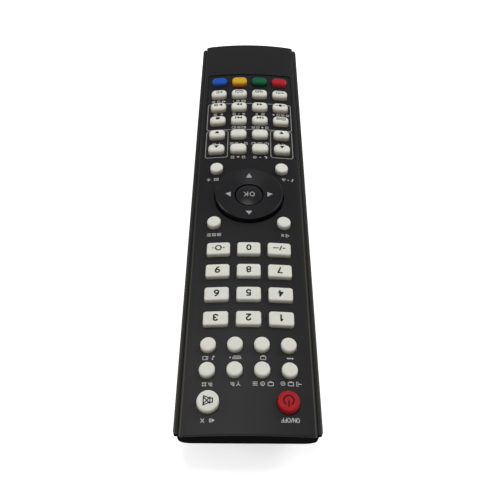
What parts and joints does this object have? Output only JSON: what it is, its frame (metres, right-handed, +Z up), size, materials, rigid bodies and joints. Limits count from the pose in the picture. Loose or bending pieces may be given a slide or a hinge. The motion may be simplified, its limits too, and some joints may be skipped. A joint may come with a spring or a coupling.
{
  "type": "tv remote control",
  "caption": "Long slim handset with a crowned top, number block, navigation ring, rows of small keys, an infrared window and a sliding battery door.",
  "frame": {"origin": "middle of the flat back, on the surface that the handset lies on", "axes": "+X to the right for a user who holds the tail end, +Y along the handset towards the infrared window, +Z up out of the keys"},
  "size_m": [0.0516, 0.2204, 0.0242],
  "materials": {
    "white_key": "matte",
    "red_key": "matte",
    "green_key": "matte",
    "yellow_key": "matte",
    "blue_key": "matte",
    "ring_black": "satin",
    "cover_black": "fine spark texture",
    "window_dark": "gloss",
    "mat_grey": "matte",
    "board_green": "satin",
    "contact_metal": "nickel plated",
    "cell_wrap": "satin"
  },
  "bodies": {
    "case": {"front_cover": "cover_black", "rear_cover": "cover_black", "ir_window": "window_dark", "keypad_mat": "mat_grey", "circuit_board": "board_green", "battery_contacts": "contact_metal", "batteries": "cell_wrap"},
    "key_mute": {"key_mute": "white_key"},
    "key_exit": {"key_exit": "white_key"},
    "key_menu": {"key_menu": "white_key"},
    "key_sound_mode": {"key_sound_mode": "white_key"},
    "key_picture_mode": {"key_picture_mode": "white_key"},
    "key_source": {"key_source": "white_key"},
    "key_display": {"key_display": "white_key"},
    "key_tuner_a": {"key_tuner_a": "white_key"},
    "key_tuner_b": {"key_tuner_b": "white_key"},
    "key_input_a": {"key_input_a": "white_key"},
    "key_input_b": {"key_input_b": "white_key"},
    "key_input_c": {"key_input_c": "white_key"},
    "key_input_d": {"key_input_d": "white_key"},
    "key_digit_0": {"key_digit_0": "white_key"},
    "key_digit_1": {"key_digit_1": "white_key"},
    "key_digit_2": {"key_digit_2": "white_key"},
    "key_digit_3": {"key_digit_3": "white_key"},
    "key_digit_4": {"key_digit_4": "white_key"},
    "key_digit_5": {"key_digit_5": "white_key"},
    "key_digit_6": {"key_digit_6": "white_key"},
    "key_digit_7": {"key_digit_7": "white_key"},
    "key_digit_8": {"key_digit_8": "white_key"},
    "key_digit_9": {"key_digit_9": "white_key"},
    "key_dash": {"key_dash": "white_key"},
    "key_recall": {"key_recall": "white_key"},
    "key_volume_up": {"key_volume_up": "white_key"},
    "key_sleep": {"key_sleep": "white_key"},
    "key_page_up": {"key_page_up": "white_key"},
    "key_channel_up": {"key_channel_up": "white_key"},
    "key_volume_down": {"key_volume_down": "white_key"},
    "key_aspect": {"key_aspect": "white_key"},
    "key_page_down": {"key_page_down": "white_key"},
    "key_channel_down": {"key_channel_down": "white_key"},
    "key_text": {"key_text": "white_key"},
    "key_previous": {"key_previous": "white_key"},
    "key_next": {"key_next": "white_key"},
    "key_stop": {"key_stop": "white_key"},
    "key_record": {"key_record": "white_key"},
    "key_rewind": {"key_rewind": "white_key"},
    "key_forward": {"key_forward": "white_key"},
    "key_play_pause": {"key_play_pause": "white_key"},
    "key_repeat": {"key_repeat": "white_key"},
    "key_zoom": {"key_zoom": "white_key"},
    "key_subtitle": {"key_subtitle": "white_key"},
    "key_audio": {"key_audio": "white_key"},
    "key_power": {"key_power": "red_key"},
    "key_red": {"key_red": "red_key"},
    "key_green": {"key_green": "green_key"},
    "key_yellow": {"key_yellow": "yellow_key"},
    "key_blue": {"key_blue": "blue_key"},
    "nav_ring": {"nav_ring": "ring_black"},
    "key_ok": {"key_ok": "ring_black"},
    "battery_door": {"battery_door": "cover_black"}
  },
  "joints": [
    {"name": "key_mute_press", "type": "slide", "parent": "case", "child": "key_mute", "axis": [0, 0, -1], "range_m": [0, 0.001], "stiffness_N_per_m": 1000},
    {"name": "key_exit_press", "type": "slide", "parent": "case", "child": "key_exit", "axis": [0, 0, -1], "range_m": [0, 0.001], "stiffness_N_per_m": 1000},
    {"name": "key_menu_press", "type": "slide", "parent": "case", "child": "key_menu", "axis": [0, 0, -1], "range_m": [0, 0.001], "stiffness_N_per_m": 1000},
    {"name": "key_sound_mode_press", "type": "slide", "parent": "case", "child": "key_sound_mode", "axis": [0, 0, -1], "range_m": [0, 0.001], "stiffness_N_per_m": 1000},
    {"name": "key_picture_mode_press", "type": "slide", "parent": "case", "child": "key_picture_mode", "axis": [0, 0, -1], "range_m": [0, 0.001], "stiffness_N_per_m": 1000},
    {"name": "key_source_press", "type": "slide", "parent": "case", "child": "key_source", "axis": [0, 0, -1], "range_m": [0, 0.001], "stiffness_N_per_m": 1000},
    {"name": "key_display_press", "type": "slide", "parent": "case", "child": "key_display", "axis": [0, 0, -1], "range_m": [0, 0.001], "stiffness_N_per_m": 1000},
    {"name": "key_tuner_a_press", "type": "slide", "parent": "case", "child": "key_tuner_a", "axis": [0, 0, -1], "range_m": [0, 0.001], "stiffness_N_per_m": 1000},
    {"name": "key_tuner_b_press", "type": "slide", "parent": "case", "child": "key_tuner_b", "axis": [0, 0, -1], "range_m": [0, 0.001], "stiffness_N_per_m": 1000},
    {"name": "key_input_a_press", "type": "slide", "parent": "case", "child": "key_input_a", "axis": [0, 0, -1], "range_m": [0, 0.001], "stiffness_N_per_m": 1000},
    {"name": "key_input_b_press", "type": "slide", "parent": "case", "child": "key_input_b", "axis": [0, 0, -1], "range_m": [0, 0.001], "stiffness_N_per_m": 1000},
    {"name": "key_input_c_press", "type": "slide", "parent": "case", "child": "key_input_c", "axis": [0, 0, -1], "range_m": [0, 0.001], "stiffness_N_per_m": 1000},
    {"name": "key_input_d_press", "type": "slide", "parent": "case", "child": "key_input_d", "axis": [0, 0, -1], "range_m": [0, 0.001], "stiffness_N_per_m": 1000},
    {"name": "key_digit_0_press", "type": "slide", "parent": "case", "child": "key_digit_0", "axis": [0, 0, -1], "range_m": [0, 0.001], "stiffness_N_per_m": 1000},
    {"name": "key_digit_1_press", "type": "slide", "parent": "case", "child": "key_digit_1", "axis": [0, 0, -1], "range_m": [0, 0.001], "stiffness_N_per_m": 1000},
    {"name": "key_digit_2_press", "type": "slide", "parent": "case", "child": "key_digit_2", "axis": [0, 0, -1], "range_m": [0, 0.001], "stiffness_N_per_m": 1000},
    {"name": "key_digit_3_press", "type": "slide", "parent": "case", "child": "key_digit_3", "axis": [0, 0, -1], "range_m": [0, 0.001], "stiffness_N_per_m": 1000},
    {"name": "key_digit_4_press", "type": "slide", "parent": "case", "child": "key_digit_4", "axis": [0, 0, -1], "range_m": [0, 0.001], "stiffness_N_per_m": 1000},
    {"name": "key_digit_5_press", "type": "slide", "parent": "case", "child": "key_digit_5", "axis": [0, 0, -1], "range_m": [0, 0.001], "stiffness_N_per_m": 1000},
    {"name": "key_digit_6_press", "type": "slide", "parent": "case", "child": "key_digit_6", "axis": [0, 0, -1], "range_m": [0, 0.001], "stiffness_N_per_m": 1000},
    {"name": "key_digit_7_press", "type": "slide", "parent": "case", "child": "key_digit_7", "axis": [0, 0, -1], "range_m": [0, 0.001], "stiffness_N_per_m": 1000},
    {"name": "key_digit_8_press", "type": "slide", "parent": "case", "child": "key_digit_8", "axis": [0, 0, -1], "range_m": [0, 0.001], "stiffness_N_per_m": 1000},
    {"name": "key_digit_9_press", "type": "slide", "parent": "case", "child": "key_digit_9", "axis": [0, 0, -1], "range_m": [0, 0.001], "stiffness_N_per_m": 1000},
    {"name": "key_dash_press", "type": "slide", "parent": "case", "child": "key_dash", "axis": [0, 0, -1], "range_m": [0, 0.001], "stiffness_N_per_m": 1000},
    {"name": "key_recall_press", "type": "slide", "parent": "case", "child": "key_recall", "axis": [0, 0, -1], "range_m": [0, 0.001], "stiffness_N_per_m": 1000},
    {"name": "key_volume_up_press", "type": "slide", "parent": "case", "child": "key_volume_up", "axis": [0, 0, -1], "range_m": [0, 0.001], "stiffness_N_per_m": 1000},
    {"name": "key_sleep_press", "type": "slide", "parent": "case", "child": "key_sleep", "axis": [0, 0, -1], "range_m": [0, 0.001], "stiffness_N_per_m": 1000},
    {"name": "key_page_up_press", "type": "slide", "parent": "case", "child": "key_page_up", "axis": [0, 0, -1], "range_m": [0, 0.001], "stiffness_N_per_m": 1000},
    {"name": "key_channel_up_press", "type": "slide", "parent": "case", "child": "key_channel_up", "axis": [0, 0, -1], "range_m": [0, 0.001], "stiffness_N_per_m": 1000},
    {"name": "key_volume_down_press", "type": "slide", "parent": "case", "child": "key_volume_down", "axis": [0, 0, -1], "range_m": [0, 0.001], "stiffness_N_per_m": 1000},
    {"name": "key_aspect_press", "type": "slide", "parent": "case", "child": "key_aspect", "axis": [0, 0, -1], "range_m": [0, 0.001], "stiffness_N_per_m": 1000},
    {"name": "key_page_down_press", "type": "slide", "parent": "case", "child": "key_page_down", "axis": [0, 0, -1], "range_m": [0, 0.001], "stiffness_N_per_m": 1000},
    {"name": "key_channel_down_press", "type": "slide", "parent": "case", "child": "key_channel_down", "axis": [0, 0, -1], "range_m": [0, 0.001], "stiffness_N_per_m": 1000},
    {"name": "key_text_press", "type": "slide", "parent": "case", "child": "key_text", "axis": [0, 0, -1], "range_m": [0, 0.001], "stiffness_N_per_m": 1000},
    {"name": "key_previous_press", "type": "slide", "parent": "case", "child": "key_previous", "axis": [0, 0, -1], "range_m": [0, 0.001], "stiffness_N_per_m": 1000},
    {"name": "key_next_press", "type": "slide", "parent": "case", "child": "key_next", "axis": [0, 0, -1], "range_m": [0, 0.001], "stiffness_N_per_m": 1000},
    {"name": "key_stop_press", "type": "slide", "parent": "case", "child": "key_stop", "axis": [0, 0, -1], "range_m": [0, 0.001], "stiffness_N_per_m": 1000},
    {"name": "key_record_press", "type": "slide", "parent": "case", "child": "key_record", "axis": [0, 0, -1], "range_m": [0, 0.001], "stiffness_N_per_m": 1000},
    {"name": "key_rewind_press", "type": "slide", "parent": "case", "child": "key_rewind", "axis": [0, 0, -1], "range_m": [0, 0.001], "stiffness_N_per_m": 1000},
    {"name": "key_forward_press", "type": "slide", "parent": "case", "child": "key_forward", "axis": [0, 0, -1], "range_m": [0, 0.001], "stiffness_N_per_m": 1000},
    {"name": "key_play_pause_press", "type": "slide", "parent": "case", "child": "key_play_pause", "axis": [0, 0, -1], "range_m": [0, 0.001], "stiffness_N_per_m": 1000},
    {"name": "key_repeat_press", "type": "slide", "parent": "case", "child": "key_repeat", "axis": [0, 0, -1], "range_m": [0, 0.001], "stiffness_N_per_m": 1000},
    {"name": "key_zoom_press", "type": "slide", "parent": "case", "child": "key_zoom", "axis": [0, 0, -1], "range_m": [0, 0.001], "stiffness_N_per_m": 1000},
    {"name": "key_subtitle_press", "type": "slide", "parent": "case", "child": "key_subtitle", "axis": [0, 0, -1], "range_m": [0, 0.001], "stiffness_N_per_m": 1000},
    {"name": "key_audio_press", "type": "slide", "parent": "case", "child": "key_audio", "axis": [0, 0, -1], "range_m": [0, 0.001], "stiffness_N_per_m": 1000},
    {"name": "key_power_press", "type": "slide", "parent": "case", "child": "key_power", "axis": [0, 0, -1], "range_m": [0, 0.001], "stiffness_N_per_m": 1000},
    {"name": "key_red_press", "type": "slide", "parent": "case", "child": "key_red", "axis": [0, 0, -1], "range_m": [0, 0.001], "stiffness_N_per_m": 1000},
    {"name": "key_green_press", "type": "slide", "parent": "case", "child": "key_green", "axis": [0, 0, -1], "range_m": [0, 0.001], "stiffness_N_per_m": 1000},
    {"name": "key_yellow_press", "type": "slide", "parent": "case", "child": "key_yellow", "axis": [0, 0, -1], "range_m": [0, 0.001], "stiffness_N_per_m": 1000},
    {"name": "key_blue_press", "type": "slide", "parent": "case", "child": "key_blue", "axis": [0, 0, -1], "range_m": [0, 0.001], "stiffness_N_per_m": 1000},
    {"name": "nav_ring_rock", "type": "hinge", "parent": "case", "child": "nav_ring", "pos_m": [0, 0.0028, 0.0185], "axis": [1, 0, 0], "range_deg": [-2.5, 2.5], "stiffness_Nm_per_rad": 0.7},
    {"name": "key_ok_press", "type": "slide", "parent": "case", "child": "key_ok", "axis": [0, 0, -1], "range_m": [0, 0.001], "stiffness_N_per_m": 1000},
    {"name": "battery_door_slide", "type": "slide", "parent": "case", "child": "battery_door", "axis": [0, -1, 0], "range_m": [0, 0.066]}
  ]
}
